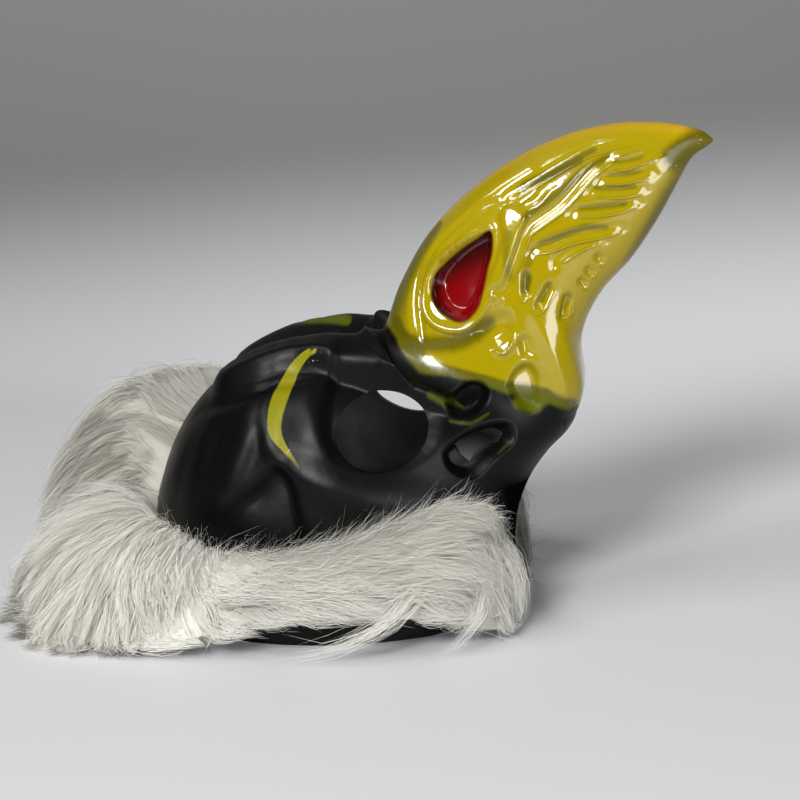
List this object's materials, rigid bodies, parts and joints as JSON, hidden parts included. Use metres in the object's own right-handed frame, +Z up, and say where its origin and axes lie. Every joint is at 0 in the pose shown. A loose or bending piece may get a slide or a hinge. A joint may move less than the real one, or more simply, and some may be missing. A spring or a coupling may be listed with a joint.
{
  "type": "eagle mask with fur trim",
  "caption": "Half-face bird mask with a long hooked beak, heavy brows, eye holes and a fur trim round its rim, lying face up.",
  "frame": {"origin": "middle of the footprint, on the surface that the rim rests on", "axes": "+Z up out of the face, +X from the forehead to the upper lip, Y across the face"},
  "size_m": [0.3128, 0.2094, 0.2226],
  "materials": {
    "painted_plastic": "spray-painted and lacquered: satin black face, glossy yellow beak, red teardrop",
    "cream_fur": "long soft pile"
  },
  "bodies": {
    "root": {"mask_shell": "painted_plastic", "fur_trim": "cream_fur"}
  },
  "joints": []
}
